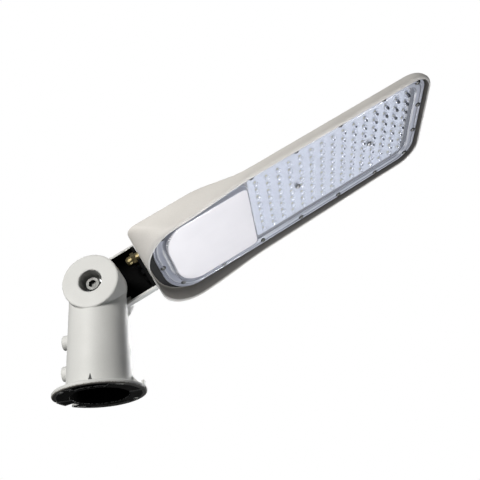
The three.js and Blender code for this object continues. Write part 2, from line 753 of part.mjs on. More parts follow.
// A closed skin through rings that all have the same number of points.
function skin(rings) {
  const count = rings[0].length;
  const position = [];
  const triangle = (a, b, c) => position.push(...a, ...b, ...c);
  const cap = (ring, flip) => {
    const half = count / 2;
    for (let k = 0; k < half - 1; k += 1) {
      const [a, b, c, d] = [ring[k], ring[k + 1], ring[count - 2 - k], ring[count - 1 - k]];
      if (flip) {
        triangle(a, c, b);
        triangle(a, d, c);
      } else {
        triangle(a, b, c);
        triangle(a, c, d);
      }
    }
  };
  cap(rings[0], true);
  for (let j = 0; j + 1 < rings.length; j += 1) {
    for (let k = 0; k < count; k += 1) {
      const next = (k + 1) % count;
      const [a, b] = [rings[j][k], rings[j][next]];
      const [c, d] = [rings[j + 1][next], rings[j + 1][k]];
      triangle(a, b, c);
      triangle(a, c, d);
    }
  }
  cap(rings[rings.length - 1], false);
  const geometry = new THREE.BufferGeometry();
  geometry.setAttribute('position', new THREE.Float32BufferAttribute(position, 3));
  return solid(geometry);
}

function ring(outline, heightAt) {
  return outline.map(([x, y]) => [x, y, heightAt(x, y)]);
}

// ---------------------------------------------------------------- housing

function buildHousingShell() {
  const rings = [
    ring(bodyOutline(2.4, 0), (x) => rimZ(x)),
    ring(bodyOutline(0.7, 0), (x) => rimZ(x) + 1.3),
    ring(bodyOutline(0, 0.1), (x) => rimZ(x) + 4),
    ring(bodyOutline(0.2, 0.35), (x) => bandTopZ(x)),
    ring(bodyOutline(2.2, 0.85), (x) => mix(bandTopZ(x), backEdgeZ(x), 0.6)),
    ring(bodyOutline(6, 1), (x) => mix(bandTopZ(x), backEdgeZ(x), 0.94)),
  ];
  for (const share of [0.96, 0.78, 0.55, 0.3, 0.03]) {
    const rise = 1 - share * share;
    rings.push(ring(bodyOutline(9, 1, share), (x) => mix(backEdgeZ(x), backMidZ(x), rise)));
  }
  return skin(rings);
}

function fins() {
  const bars = [];
  const spread = (bodyHalfWidth - finEdgeInset) * 2;
  for (let i = 0; i < finCount; i += 1) {
    const y = -spread / 2 + (spread * i) / (finCount - 1);
    const out = (y / bodyHalfWidth) ** 2;
    const top = mix(-lampBackDepth, lampBackEdgeZ(finStart), out) + finHeight;
    const shorter = 10 * out;
    bars.push(block(finStart + shorter, finEnd - shorter, y - finThickness / 2, y + finThickness / 2,
      lampBackEdgeZ(finStart) - 1, top));
  }
  return bars;
}

function lensScrewSpots() {
  const side = bodyHalfWidth - sideScrewInset;
  const spots = [[nearScrewLong, 0]];
  for (const sign of [-1, 1]) {
    spots.push([nearCornerScrew[0], sign * nearCornerScrew[1]]);
    for (let i = 0; i < sideScrewCount; i += 1) {
      spots.push([mix(sideScrewFirst, sideScrewLast, i / (sideScrewCount - 1)), sign * side]);
    }
    spots.push([tipCornerScrew[0], sign * tipCornerScrew[1]]);
  }
  for (const offset of [-tipScrewOffset, tipScrewOffset]) spots.push([bodyEnd - tipScrewInset, offset]);
  return spots;
}

function buildHousing() {
  let housing = buildHousingShell();
  for (const bar of fins()) housing = housing.add(bar);
  housing = housing.subtract(solid(prism(openingOutline(0), -60, -seatDepth)));
  const boardPocket = paddle({
    start: boardStart - 6,
    end: bodyEnd - rimWidth - ledgeWidth - innerLedgeEnd,
    halfWidth: bodyHalfWidth - rimWidth - ledgeWidth,
    nearLong: 6,
    nearWide: 6,
    tip: 18,
    follow: false,
  });
  housing = housing.subtract(solid(prism(boardPocket, -60, -boardFloorDepth)));
  housing = housing.subtract(solid(prism(capOutline(lensCapWall + bayMouthInset), -60, 0)));
  const bayRings = [
    ring(bayOutline(1), () => -seatDepth + ledgeThickness),
    ring(bayOutline(1), () => -4),
    ring(bayOutline(0.92), (x) => mix(0, backMidZ(x) - driverBayRoof, 0.35)),
    ring(bayOutline(0.62), (x) => backMidZ(x) - driverBayRoof - 5),
    ring(bayOutline(0.3), (x) => backMidZ(x) - driverBayRoof),
  ];
  housing = housing.subtract(skin(bayRings));
  for (const x of driverScrewLongs()) housing = housing.add(driverPost(x));
  for (const [x, y] of lensScrewSpots()) {
    const top = -seatDepth + screwGripDepth + 0.5;
    const hole = rod(lensScrewRadius + threadGap, -seatDepth - 3, top, holeSides);
    hole.translate(x, y, 0);
    housing = housing.subtract(solid(hole));
  }
  for (const x of centreScrewSpots) {
    const hole = rod(lensScrewRadius + threadGap, -seatDepth - 3, -boardFloorDepth + centreScrewGrip + 0.5,
      holeSides);
    hole.translate(x, 0, 0);
    housing = housing.subtract(solid(hole));
  }
  const wallHole = (spot, radius, depth) => {
    const hole = alongX(rod(radius + threadGap, bodyStart - 3, bodyStart + depth, smallHoleSides));
    hole.translate(0, ...spot);
    return solid(hole);
  };
  for (const spot of neckScrewSpots) {
    housing = housing.subtract(wallHole(spot, neckScrewRadius, neckScrewGrip + 1));
  }
  housing = housing.subtract(wallHole(glandSpot, glandThreadRadius, 14));
  return housing.subtract(wallHole(earthSpot, earthScrewRadius, 5));
}

// A post hangs from the roof of the bay to carry each foot of the driver.
function driverPost(x) {
  const foot = -seatDepth + driverLift + driverFoot + runGap;
  const post = block(x - 4.5, x + 4.5, -8, 8, foot, backMidZ(x) - driverBayRoof + 1);
  const hole = rod(driverScrewRadius + threadGap, foot - 1, foot + 7, holeSides);
  hole.translate(x, 0, 0);
  return post.subtract(solid(hole));
}

// Depth of thread that a lens screw has inside the housing.
const screwGripDepth = lensScrewLength - lensThickness - gasketThickness - runGap * 3;

function bayOutline(share) {
  return paddle({
    start: driverBayStart,
    end: driverBayStart + driverBayLength,
    halfWidth: (bodyHalfWidth - driverBayWall) * share,
    nearLong: 16 * share,
    nearWide: 16 * share,
    tip: 14 * share,
    follow: false,
  });
}

addPart(head, 'housing', buildHousing(), housingPaint());

// ---------------------------------------------------------------- gasket, lens and light board

const gasketZ = -seatDepth - runGap;
const lensZ = gasketZ - gasketThickness - runGap;
const lensFaceZ = lensZ - lensThickness;

function lensOutline(inset) {
  return paddle({
    start: lensStart + inset,
    end: bodyEnd - rimWidth - lensEdgeGap - inset,
    halfWidth: bodyHalfWidth - rimWidth - lensEdgeGap - inset,
    nearLong: lensCornerLong,
    nearWide: lensCornerWide - inset,
    tip: tipCorner - rimWidth - lensEdgeGap - inset * 0.5,
  });
}

function capOutline(inset) {
  return paddle({
    start: lensCapStart + inset,
    end: lensCapStart + lensCapLength - inset,
    halfWidth: bodyHalfWidth - lensCapSide - inset,
    nearLong: lensCapCornerLong - inset,
    nearWide: lensCapCornerWide - inset,
    tip: lensCapTipCorner - inset,
    follow: false,
  });
}

function screwHoles(spots, z0, z1) {
  return spots.map(([x, y]) => {
    const hole = rod(lensScrewRadius + threadGap, z0, z1, holeSides);
    hole.translate(x, y, 0);
    return solid(hole);
  });
}

function buildGasket() {
  let gasket = solid(prism(openingOutline(lensEdgeGap), gasketZ - gasketThickness, gasketZ));
  const inner = paddle({
    start: lensStart + gasketWidth + 3,
    end: bodyEnd - rimWidth - ledgeWidth - innerLedgeEnd,
    halfWidth: bodyHalfWidth - rimWidth - ledgeWidth,
    nearLong: lensCornerLong - gasketWidth,
    nearWide: lensCornerWide - gasketWidth,
    tip: 18,
    follow: false,
  });
  gasket = gasket.subtract(solid(prism(inner, gasketZ - gasketThickness - 1, gasketZ + 1)));
  const holes = screwHoles(lensScrewSpots(), gasketZ - 5, gasketZ + 1);
  for (const hole of holes) gasket = gasket.subtract(hole);
  return gasket;
}

function buildLens() {
  const capTop = lensFaceZ - lensRaise;
  let lens = solid(prism(lensOutline(0), lensFaceZ, lensZ));
  lens = lens.add(solid(prism(capOutline(0), capTop, lensZ)));
  lens = lens.subtract(solid(prism(capOutline(lensCapWall), capTop + lensCapTop, lensZ + 1)));
  const holes = screwHoles([...lensScrewSpots(), ...centreScrewSpots.map((x) => [x, 0])], -60, 0);
  for (const hole of holes) lens = lens.subtract(hole);
  return lens;
}

function buildBoard() {
  const outline = paddle({
    start: boardStart,
    end: bodyEnd - rimWidth - ledgeWidth - innerLedgeEnd - boardMargin,
    halfWidth: bodyHalfWidth - rimWidth - ledgeWidth - boardMargin,
    nearLong: 4,
    nearWide: 4,
    tip: 14,
    follow: false,
  });
  const top = -boardFloorDepth - runGap;
  let board = solid(prism(outline, top - boardThickness, top));
  const holes = screwHoles(centreScrewSpots.map((x) => [x, 0]), -60, 0);
  for (const hole of holes) board = board.subtract(hole);
  return board;
}

function buildCoverPlate() {
  const face = lensFaceZ - lensRaise + lensCapTop + runGap;
  return prism(capOutline(lensCapWall + coverPlateInset), face, face + coverPlateThickness);
}

addPart(head, 'lens_gasket', buildGasket(), blackRubber());
addPart(head, 'lens_cover', buildLens(), clearPlastic());
addPart(head, 'light_board', buildBoard(), boardWhite());
addPart(head, 'driver_cover_plate', buildCoverPlate(), plateWhite());

// A pan-head screw along +Z, its head below the lens face.
function lensScrew(x, y, length) {
  const screw = panScrew(lensFaceZ - runGap, lensScrewHeadRadius, lensScrewHeadHeight,
    lensScrewRadius, length);
  screw.translate(x, y, 0);
  return screw;
}

lensScrewSpots().forEach(([x, y], index) => {
  const name = `lens_screw_${String(index + 1).padStart(2, '0')}`;
  addPart(head, name, lensScrew(x, y, lensScrewLength), steel());
});

centreScrewSpots.forEach((x, index) => {
  const length = -lensFaceZ + runGap - boardFloorDepth + centreScrewGrip;
  addPart(head, `centre_screw_${index + 1}`, lensScrew(x, 0, length), steel());
});

// ---------------------------------------------------------------- driver and terminal block

// The driver hangs from the roof of its bay on two feet.
function buildDriver() {
  const base = -seatDepth + driverLift;
  const [x0, x1] = [driverStart, driverStart + driverLength];
  let driver = block(x0 + driverFootLength, x1 - driverFootLength, -driverWidth / 2, driverWidth / 2,
    base, base + driverHeight);
  driver = driver.add(block(x0, x1, -driverFootHalfWidth, driverFootHalfWidth, base, base + driverFoot));
  for (const x of driverScrewLongs()) {
    const hole = rod(driverScrewRadius + threadGap, -20, base + driverFoot + 5, holeSides);
    hole.translate(x, 0, 0);
    driver = driver.subtract(solid(hole));
  }
  return driver;
}

function driverScrewLongs() {
  return [driverStart + driverFootLength / 2, driverStart + driverLength - driverFootLength / 2];
}

addPart(head, 'led_driver', buildDriver(), driverGrey());

driverScrewLongs().forEach((x, index) => {
  const base = -seatDepth + driverLift - runGap;
  const screw = panScrew(base, driverScrewHeadRadius, 2.4, driverScrewRadius, driverFoot + 6);
  screw.translate(x, 0, 0);
  addPart(head, `driver_screw_${index + 1}`, screw, steel());
});

const terminalStart = driverStart + terminalInset;
const terminalSide = driverWidth / 2 + terminalGap;
const terminalBase = -seatDepth + terminalLift;
const terminal = block(terminalStart, terminalStart + terminalLength,
  terminalSide, terminalSide + terminalWidth, terminalBase, terminalBase + terminalHeight);
addPart(head, 'terminal_block', terminal, terminalNylon());

export default lamp;
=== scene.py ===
"""LED street luminaire on a tilting pole adapter: the look of each piece."""
import json
import math

import bmesh
import bpy
from mathutils import Matrix, Vector


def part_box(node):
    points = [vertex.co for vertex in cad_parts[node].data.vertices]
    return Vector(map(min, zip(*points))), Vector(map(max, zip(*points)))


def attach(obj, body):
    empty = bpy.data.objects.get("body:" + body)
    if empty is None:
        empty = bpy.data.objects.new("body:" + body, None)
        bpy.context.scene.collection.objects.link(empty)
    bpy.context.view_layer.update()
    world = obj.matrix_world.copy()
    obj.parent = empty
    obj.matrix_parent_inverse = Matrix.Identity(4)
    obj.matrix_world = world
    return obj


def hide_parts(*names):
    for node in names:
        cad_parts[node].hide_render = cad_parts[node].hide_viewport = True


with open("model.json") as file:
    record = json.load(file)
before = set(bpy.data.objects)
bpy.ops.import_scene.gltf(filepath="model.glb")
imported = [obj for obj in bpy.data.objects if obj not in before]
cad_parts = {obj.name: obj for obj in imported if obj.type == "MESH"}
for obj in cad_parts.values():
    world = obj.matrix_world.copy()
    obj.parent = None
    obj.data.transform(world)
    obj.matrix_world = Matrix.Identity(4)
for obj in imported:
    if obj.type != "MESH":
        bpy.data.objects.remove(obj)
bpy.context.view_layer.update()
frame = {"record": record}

# ------------------------------------------------------------------ camera
# A short telephoto, below and in front of the lamp, looking up and turned a little on its axis.
camera_data = bpy.data.cameras.new("camera")
camera_data.lens = 45.87
camera_data.sensor_width = 36.0
camera = bpy.data.objects.new("camera", camera_data)
bpy.context.collection.objects.link(camera)
right = Vector((0.985, 0.1231, -0.1209)).normalized()
back = Vector((0.0521, -0.8801, -0.4719)).normalized()
up = back.cross(right).normalized()
turn = Matrix((up.cross(back), up, back)).transposed().to_4x4()
camera.matrix_world = Matrix.Translation((0.2027, -0.6145, -0.1755)) @ turn
bpy.context.scene.camera = camera
bpy.context.scene.view_settings.view_transform = "Standard"

# ------------------------------------------------------------------ studio
# White surroundings that give little light, soft boxes for the rest, a narrow lamp that shines
# straight at the lens cover, and a pale floor well below that sends no light back up.
world = bpy.data.worlds.new("studio")
bpy.context.scene.world = world
world.use_nodes = True
sky = world.node_tree
surround = sky.nodes["Background"]
surround.inputs["Color"].default_value = (0.92, 0.96, 1.0, 1)
toward = sky.nodes.new("ShaderNodeVectorMath")
toward.operation = "DOT_PRODUCT"
toward.inputs[1].default_value = (-0.28, -0.2, 0.6)
sky.links.new(sky.nodes.new("ShaderNodeTexCoord").outputs["Generated"], toward.inputs[0])
fade = sky.nodes.new("ShaderNodeMapRange")
for place, value in zip(("From Min", "From Max", "To Min", "To Max"), (-0.4, 0.7, 0.012, 0.28)):
    fade.inputs[place].default_value = value
sky.links.new(toward.outputs["Value"], fade.inputs["Value"])
sky.links.new(fade.outputs["Result"], surround.inputs["Strength"])
backdrop = sky.nodes.new("ShaderNodeBackground")
backdrop.inputs["Color"].default_value = (1, 1, 1, 1)
seen = sky.nodes.new("ShaderNodeLightPath")
either = sky.nodes.new("ShaderNodeMixShader")
sky.links.new(seen.outputs["Is Camera Ray"], either.inputs[0])
sky.links.new(surround.outputs[0], either.inputs[1])
sky.links.new(backdrop.outputs[0], either.inputs[2])
sky.links.new(either.outputs[0], sky.nodes["World Output"].inputs["Surface"])


def soft_box(name, place, aim, size, watts, colour=(1, 1, 1), spread=180):
    data = bpy.data.lights.new(name, "AREA")
    data.shape = "RECTANGLE"
    data.size, data.size_y = size
    data.energy = watts
    data.color = colour
    data.spread = math.radians(spread)
    box = bpy.data.objects.new(name, data)
    bpy.context.collection.objects.link(box)
    box.location = place
    box.rotation_euler = (Vector(aim) - Vector(place)).to_track_quat("-Z", "Y").to_euler()
    return box


soft_box("key_box", (-0.60, -1.45, 0.42), (0.0, 0, 0.12), (0.5, 0.6), 3.05, (1.0, 0.985, 0.96), 56)
front_lamp = bpy.data.lights.new("front_lamp", "SPOT")
front_lamp.energy, front_lamp.color = 45, (0.95, 0.97, 1.0)
front_lamp.spot_size, front_lamp.spot_blend = math.radians(27), 0.45
front_lamp.shadow_soft_size = 0.05
front_spot = bpy.data.objects.new("front_lamp", front_lamp)
front_spot.location = (0.65, 0, -0.71)
front_spot.rotation_euler = Vector((-0.415, 0, 0.91)).to_track_quat("-Z", "Y").to_euler()
bpy.context.collection.objects.link(front_spot)
soft_box("back_box", (0.9, 1.9, 0.8), (0.2, 0, 0.15), (0.9, 0.9), 5, (1, 1, 1), 60)
soft_box("glint_box", (0.42, 0.75, -0.55), (0.26, 0, 0.17), (0.45, 0.25), 9, (1, 1, 1))
bpy.data.objects["glint_box"].visible_diffuse = False
floor_mesh = bpy.data.meshes.new("floor")
floor_reach, floor_level = 9, -2.4
floor_sides = ((-1, -1), (1, -1), (1, 1), (-1, 1))
floor_corners = [(x * floor_reach, y * floor_reach, floor_level) for x, y in floor_sides]
floor_mesh.from_pydata(floor_corners, [], [(0, 1, 2, 3)])
studio_floor = bpy.data.objects.new("floor", floor_mesh)
bpy.context.collection.objects.link(studio_floor)
paper = bpy.data.materials.new("studio_paper")
paper.use_nodes = True
paper_shader = paper.node_tree.nodes["Principled BSDF"]
paper_shader.inputs["Roughness"].default_value = 0.9
paper_noise = paper.node_tree.nodes.new("ShaderNodeTexNoise")
paper_noise.inputs["Scale"].default_value = 3
paper_tone = paper.node_tree.nodes.new("ShaderNodeMix")
paper_tone.data_type = "RGBA"
paper_tone.inputs[6].default_value = (0.90, 0.90, 0.90, 1)
paper_tone.inputs[7].default_value = (0.93, 0.93, 0.93, 1)
paper.node_tree.links.new(paper_noise.outputs[0], paper_tone.inputs[0])
paper.node_tree.links.new(paper_tone.outputs[2], paper_shader.inputs["Base Color"])
paper_shader.inputs["Emission Color"].default_value = (1, 1, 1, 1)
paper_shader.inputs["Emission Strength"].default_value = 0.55
studio_floor.visible_diffuse = studio_floor.visible_glossy = False
floor_mesh.materials.append(paper)

# ------------------------------------------------------------------ pole adapter
# One aluminium die casting, powder coated light grey, with the small fillets of its mould.
# Painted shade: its socket and the middle of its underside are near black, and the rest of the
# underside has the darkened shade coat.


class Port:
    """A shader socket that takes part in Python sums and products."""

    def __init__(self, tree, socket):
        self.tree, self.socket = tree, socket

    def node(self, kind, settings=(), out=0, **sockets):
        made = self.tree.nodes.new(kind)
        for key, value in dict(settings).items():
            if key == "stops":
                while len(made.color_ramp.elements) < len(value):
                    made.color_ramp.elements.new(0.5)
                for element, (at, colour) in zip(made.color_ramp.elements, value):
                    element.position, element.color = at, colour
            else:
                setattr(made, key, value)
        for key, value in sockets.items():
            names = [s for s in made.inputs if s.name.replace(" ", "_") == key and s.enabled]
            socket = names[0] if names else made.inputs[int(key[1:])]
            if isinstance(value, Port):
                self.tree.links.new(value.socket, socket)
            else:
                socket.default_value = value
        return Port(self.tree, made.outputs[out])

    def sum_of(self, operation, left, right=0.0, third=0.0):
        return self.node("ShaderNodeMath", {"operation": operation}, i0=left, i1=right, i2=third)

    def __add__(self, other):
        return self.sum_of("ADD", self, other)

    __radd__ = __add__

    def __mul__(self, other):
        return self.sum_of("MULTIPLY", self, other)

    __rmul__ = __mul__

    def noise(self, scale, detail=3.0, roughness=0.5):
        sizes = {"Scale": scale, "Detail": detail, "Roughness": roughness}
        return self.node("ShaderNodeTexNoise", Vector=self, **sizes)

    def between(self, low, high):
        return self.node("ShaderNodeMapRange", {"clamp": True}, Value=self, From_Min=low, From_Max=high)

    def colours(self, first, second):
        ends = {"i6": (*first, 1), "i7": (*second, 1)}
        return self.node("ShaderNodeMix", {"data_type": "RGBA"}, out=2, i0=self, **ends)


def new_material(name):
    material = bpy.data.materials.new(name)
    material.use_nodes = True
    tree = material.node_tree
    shader = tree.nodes["Principled BSDF"]
    place = Port(tree, tree.nodes.new("ShaderNodeTexCoord").outputs["Object"])
    return material, shader, place


def feed(shader, name, value):
    if isinstance(value, Port):
        value.tree.links.new(value.socket, shader.inputs[name])
    else:
        shader.inputs[name].default_value = value


def bumped(shader, height, distance, strength=1.0):
    normal = height.node("ShaderNodeBump", Height=height, Distance=distance, Strength=strength)
    feed(shader, "Normal", normal)


def powder_coat(name, pale, deep, grain=1400.0):
    """Two close tones, a fine orange-peel grain and a little dust in the roughness."""
    material, shader, place = new_material(name)
    cloud = place.noise(16.0, 4.0)
    speck = place.noise(900.0, 2.0)
    tone = cloud.between(0.35, 0.68) * 0.7 + speck.between(0.4, 0.7) * 0.3
    feed(shader, "Base Color", tone.colours(pale, deep))
    feed(shader, "Roughness", 0.46 + place.noise(60.0) * 0.16)
    bumped(shader, place.noise(grain, 3.0) * 0.7 + place.noise(grain * 0.3) * 0.3, 0.00016, 0.55)
    return material


adapter_coat = powder_coat("adapter_coat", (0.60, 0.60, 0.58), (0.53, 0.53, 0.51))
housing_coat = powder_coat("housing_coat", (0.66, 0.635, 0.60), (0.58, 0.555, 0.52))


def shaded_coat():
    """Painted shade: the same coat darkened where no light reaches it, deeper towards the tip of the
    head.
    """
    material, shader, place = new_material("shaded_coat")
    along = place.node("ShaderNodeSeparateXYZ", i0=place)
    tone = along.between(0.02, 0.34) * 0.9 + place.noise(50.0) * 0.1
    feed(shader, "Base Color", tone.colours((0.30, 0.28, 0.25), (0.14, 0.132, 0.12)))
    feed(shader, "Roughness", 0.6 + place.noise(60.0) * 0.2)
    shader.inputs["Specular IOR Level"].default_value = 0.2
    bumped(shader, place.noise(1400.0, 3.0), 0.00012, 0.5)
    return material


painted_shade_coat = shaded_coat()


# Painted shade: near black standing for the shade in deep hollows such as the socket and the neck's
# channel.
def dark_inside():
    material, shader, place = new_material("dark_inside")
    feed(shader, "Base Color", place.noise(40.0).colours((0.002, 0.002, 0.002), (0.005, 0.005, 0.005)))
    feed(shader, "Roughness", 0.7 + place.noise(90.0) * 0.2)
    shader.inputs["Specular IOR Level"].default_value = 0.05
    bumped(shader, place.noise(1200.0), 0.0001)
    return material


shade_black_casting = dark_inside()


def add_object(name, mesh, *materials):
    for material in materials:
        mesh.materials.append(material)
    made = bpy.data.objects.new(name, mesh)
    bpy.context.collection.objects.link(made)
    return made


def shade_smooth(mesh, angle=40):
    mesh.shade_smooth()
    mesh.set_sharp_from_angle(angle=math.radians(angle))


def cast_copy(name, node, voxel, rounds, *materials):
    """The node's solid with its edges rounded off, as a casting's are."""
    source = bpy.data.objects[node]
    merged = bmesh.new()
    merged.from_mesh(source.data)
    bmesh.ops.remove_doubles(merged, verts=merged.verts, dist=1e-6)
    mesh = bpy.data.meshes.new(name)
    merged.to_mesh(mesh)
    merged.free()
    made = add_object(name, mesh, *materials)
    remesh = made.modifiers.new("round", "REMESH")
    remesh.mode, remesh.voxel_size = "VOXEL", voxel
    ease_off = made.modifiers.new("ease", "SMOOTH")
    ease_off.factor, ease_off.iterations = 0.5, rounds
    return settle(made)


def settle(made):
    """Turns the object's modifiers into plain mesh."""
    ready = made.evaluated_get(bpy.context.evaluated_depsgraph_get())
    mesh = bpy.data.meshes.new_from_object(ready)
    for slot in list(made.material_slots)[len(mesh.materials):]:
        mesh.materials.append(slot.material)
    made.modifiers.clear()
    made.data = mesh
    mesh.shade_smooth()
    return made


def true_round(mesh, to_axis, radius_at, start, end, reach=0.0004):
    """Moves the vertices near a turned surface onto it; to_axis brings its axis to Z."""
    back = to_axis.inverted()
    for vertex in mesh.vertices:
        spot = to_axis @ vertex.co
        across = math.hypot(spot.x, spot.y)
        wanted = radius_at(spot.z)
        if start < spot.z < end and abs(across - wanted) < reach:
            spot.x, spot.y = spot.x * wanted / across, spot.y * wanted / across
            vertex.co = back @ spot


tilt_joint = next(j for j in frame["record"]["behaviour"]["joints"] if j["name"] == "head_tilt")
pivot = Vector(tilt_joint["pos_m"])
socket_radius, socket_top = 0.0305, 0.084
underside_level, shade_black_radius = 0.0031, 0.0437
foot_radius, head_radius, drum_radius, drum_face = 0.035, 0.0318, 0.0315, 0.0335
flange_fillet_top, drum_edge = 0.0055, 0.0016
SHADE_BLACK, SHADE_COAT = 1, 2

adapter = cast_copy(
    "adapter_casting", "pole_adapter", 0.0008, 4, adapter_coat, shade_black_casting, painted_shade_coat
)
# Painted shade: faces inside the socket get near black; under the flange, near black in the middle and
# the darkened shade coat further out.
for face in adapter.data.polygons:
    middle = face.center
    from_axis = math.hypot(middle.x, middle.y)
    inside = from_axis < socket_radius + 0.0006 and middle.z < socket_top + 0.001
    if inside and middle.z > 0.0006:
        face.material_index = SHADE_BLACK
    elif middle.z < underside_level and face.normal.z < -0.5:
        face.material_index = SHADE_BLACK if from_axis < shade_black_radius else SHADE_COAT


def tube_radius(level):
    return foot_radius + (head_radius - foot_radius) * level / pivot.z


pivot_axis = Matrix.Rotation(math.radians(90), 4, "X") @ Matrix.Translation(-pivot)
true_round(adapter.data, Matrix(), tube_radius, flange_fillet_top, pivot.z)
true_round(adapter.data, pivot_axis, lambda z: drum_radius, 0, drum_face - drum_edge)
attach(adapter, "adapter")
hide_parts("pole_adapter")

# ------------------------------------------------------------------ index mark
# The small arrowhead above the flange is filled with black paint.


def black_paint():
    material, shader, place = new_material("black_paint")
    feed(shader, "Base Color", place.noise(500.0).colours((0.012, 0.012, 0.012), (0.03, 0.03, 0.03)))
    feed(shader, "Roughness", 0.5 + place.noise(300.0) * 0.2)
    return material


mark_base, mark_height, mark_half = 0.0081, 0.0070, 0.0020
mark_rows = 8
mark_corners, mark_faces = [], []
for row in range(mark_rows + 1):
    risen = row / mark_rows
    level = mark_base + mark_height * risen
    for side in (-1, 1):
        x = pivot.x + side * mark_half * (1 - risen * 0.96)
        for depth in (0.00005, -0.0008):
            y = -math.sqrt((tube_radius(level) + depth) ** 2 - x**2)
            mark_corners.append((x, y, level))
for row in range(mark_rows):
    a, b = row * 4, row * 4 + 4
    mark_faces += [(a, a + 2, b + 2, b), (a + 1, b + 1, b + 3, a + 3)]
    mark_faces += [(a, b, b + 1, a + 1), (a + 2, a + 3, b + 3, b + 2)]
last = mark_rows * 4
mark_faces += [(0, 1, 3, 2), (last, last + 2, last + 3, last + 1)]
mark_mesh = bpy.data.meshes.new("index_mark")
mark_mesh.from_pydata(mark_corners, [], mark_faces)
index_mark = add_object("index_mark", mark_mesh, black_paint())
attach(index_mark, "adapter")

# ------------------------------------------------------------------ neck
# The half tube that carries the head, a casting with the same coat outside. Its channel and
# the face of its end plate are painted near black, standing for the shade inside them.
neck = cast_copy("neck_casting", "neck_bracket", 0.0007, 4, adapter_coat, shade_black_casting)
head_tilt = math.radians(-tilt_joint["range_deg"][0])
head_frame = Matrix.Translation(pivot) @ Matrix.Rotation(-head_tilt, 4, "Y")
to_head = head_frame.inverted()
neck_inner_radius, neck_rise = 0.0294, 0.0011
plate_face, cut_face, drum_clear = 0.0542, 0.0012, 0.004
for face in neck.data.polygons:
    middle = to_head @ face.center
    reach = math.hypot(middle.y, middle.z - neck_rise)
    in_channel = middle.y > cut_face or middle.x > plate_face - 0.0004
    if middle.x > drum_clear and in_channel and reach < neck_inner_radius + 0.0005:
        face.material_index = SHADE_BLACK
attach(neck, "lamp_head")
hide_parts("neck_bracket")

# ------------------------------------------------------------------ housing
# A shallow aluminium tray, deeper round the driver, with a thin rim and a fold along its side.
# It is one skin, drawn ring by ring from the middle of the back, over the rim, to its floor.
MM = 0.001
body_start, body_end = 58.5, 441.0
tip_half_width, driver_end_extra, taper_start = 81.5, 5.0, 190.0
seat_depth = 10.5
lens_face = -15.0


def ease(low, high, x):
    t = min(max((x - low) / (high - low), 0.0), 1.0)
    return t * t * (3 - 2 * t)


def mix(a, b, t):
    return a + (b - a) * t


def widen(x):
    along = min(max((body_end - x) / (body_end - taper_start), 0.0), 1.0)
    return 1 + driver_end_extra / tip_half_width * along


def paddle(start, end, half_width, near_long, near_wide, tip, follow=True, steps=16, along=30):
    """A closed outline: elliptical corners at the near end, straight sides, round tip corners."""
    quarter = [math.pi / 2 * k / steps for k in range(steps + 1)]
    side = [
        (start + near_long * (1 - math.cos(a)), half_width - near_wide * (1 - math.sin(a)))
        for a in quarter
    ]
    first, last = start + near_long, end - tip
    side += [(mix(first, last, k / along), half_width) for k in range(1, along)]
    side += [(last + tip * math.sin(a), half_width - tip * (1 - math.cos(a))) for a in quarter]
    side = [(x, y * widen(x) if follow else y) for x, y in side]
    return [(x, -y) for x, y in side] + side[::-1]


def rim_z(x):
    return -20.2 - 0.0125 * (body_end - x) - 5.2 * (1 - ease(105, 205, x))


def crease_z(x):
    return -mix(16, 14, ease(120, 228, x))


def back_edge_z(x):
    return mix(3.5, -5 - 0.0155 * (body_end - x), ease(135, 203, x))


def back_middle_z(x):
    return mix(30, -1, ease(160, 240, x))


def body_ring(inset, square, share=1.0):
    return paddle(
        body_start + inset * mix(0.5, 0.2, square),
        body_end - inset,
        (tip_half_width - inset) * share,
        mix(44, 11, square) * share,
        (mix(50, 13, square) - inset * 0.5) * share,
        (30 - inset * 0.5) * share,
    )


def opening_ring(inset):
    return paddle(
        body_start + 1.6 + inset,
        body_end - 4.5 - inset,
        tip_half_width - 4.5 - inset,
        44 - inset * 0.5,
        64 - inset,
        25.5 - inset * 0.5,
    )


def raised(outline, height):
    return [(x, y, height(x)) for x, y in outline]


def skin(name, rings, *materials, bands=None):
    """A closed skin through rings of equal count, capped at both ends.

    bands gives the place of each strip's material."""
    made = bmesh.new()
    rows = [[made.verts.new(head_frame @ (Vector(p) * MM)) for p in ring] for ring in rings]
    count = len(rows[0])
    for strip, (lower, upper) in enumerate(zip(rows, rows[1:])):
        for k in range(count):
            following = (k + 1) % count
            face = made.faces.new((lower[k], lower[following], upper[following], upper[k]))
            face.material_index = bands[strip] if bands else 0
    for row in (rows[0], rows[-1]):
        for k in range(count // 2 - 1):
            made.faces.new((row[k], row[k + 1], row[count - 2 - k], row[count - 1 - k]))
    bmesh.ops.recalc_face_normals(made, faces=made.faces)
    mesh = bpy.data.meshes.new(name)
    made.to_mesh(mesh)
    made.free()
    mesh.shade_smooth()
    return add_object(name, mesh, *materials)


fold_gap = 1.6
crown_shares = (0.02, 0.2, 0.4, 0.58, 0.74, 0.87, 0.96)
shoulder_rings = (
    (6.4, 1, 0.95), (4.4, 0.95, 0.86), (2.6, 0.85, 0.66), (1.2, 0.7, 0.40), (0.45, 0.5, 0.14),
)
band_rings = ((0.0, 0.2, 8.0), (0.0, 0.1, 4.2), (0.2, 0.05, 2.6), (0.8, 0, 1.2), (1.7, 0, 0.35))


def crown_z(x, share):
    return mix(back_edge_z(x), back_middle_z(x), 1 - share * share)


def band_z(x, lift):
    """So far above the rim, but no nearer to the fold than its gap."""
    highest = crease_z(x) - fold_gap
    return rim_z(x) + lift if rim_z(x) + lift < highest else highest - 0.05 * (8 - lift)


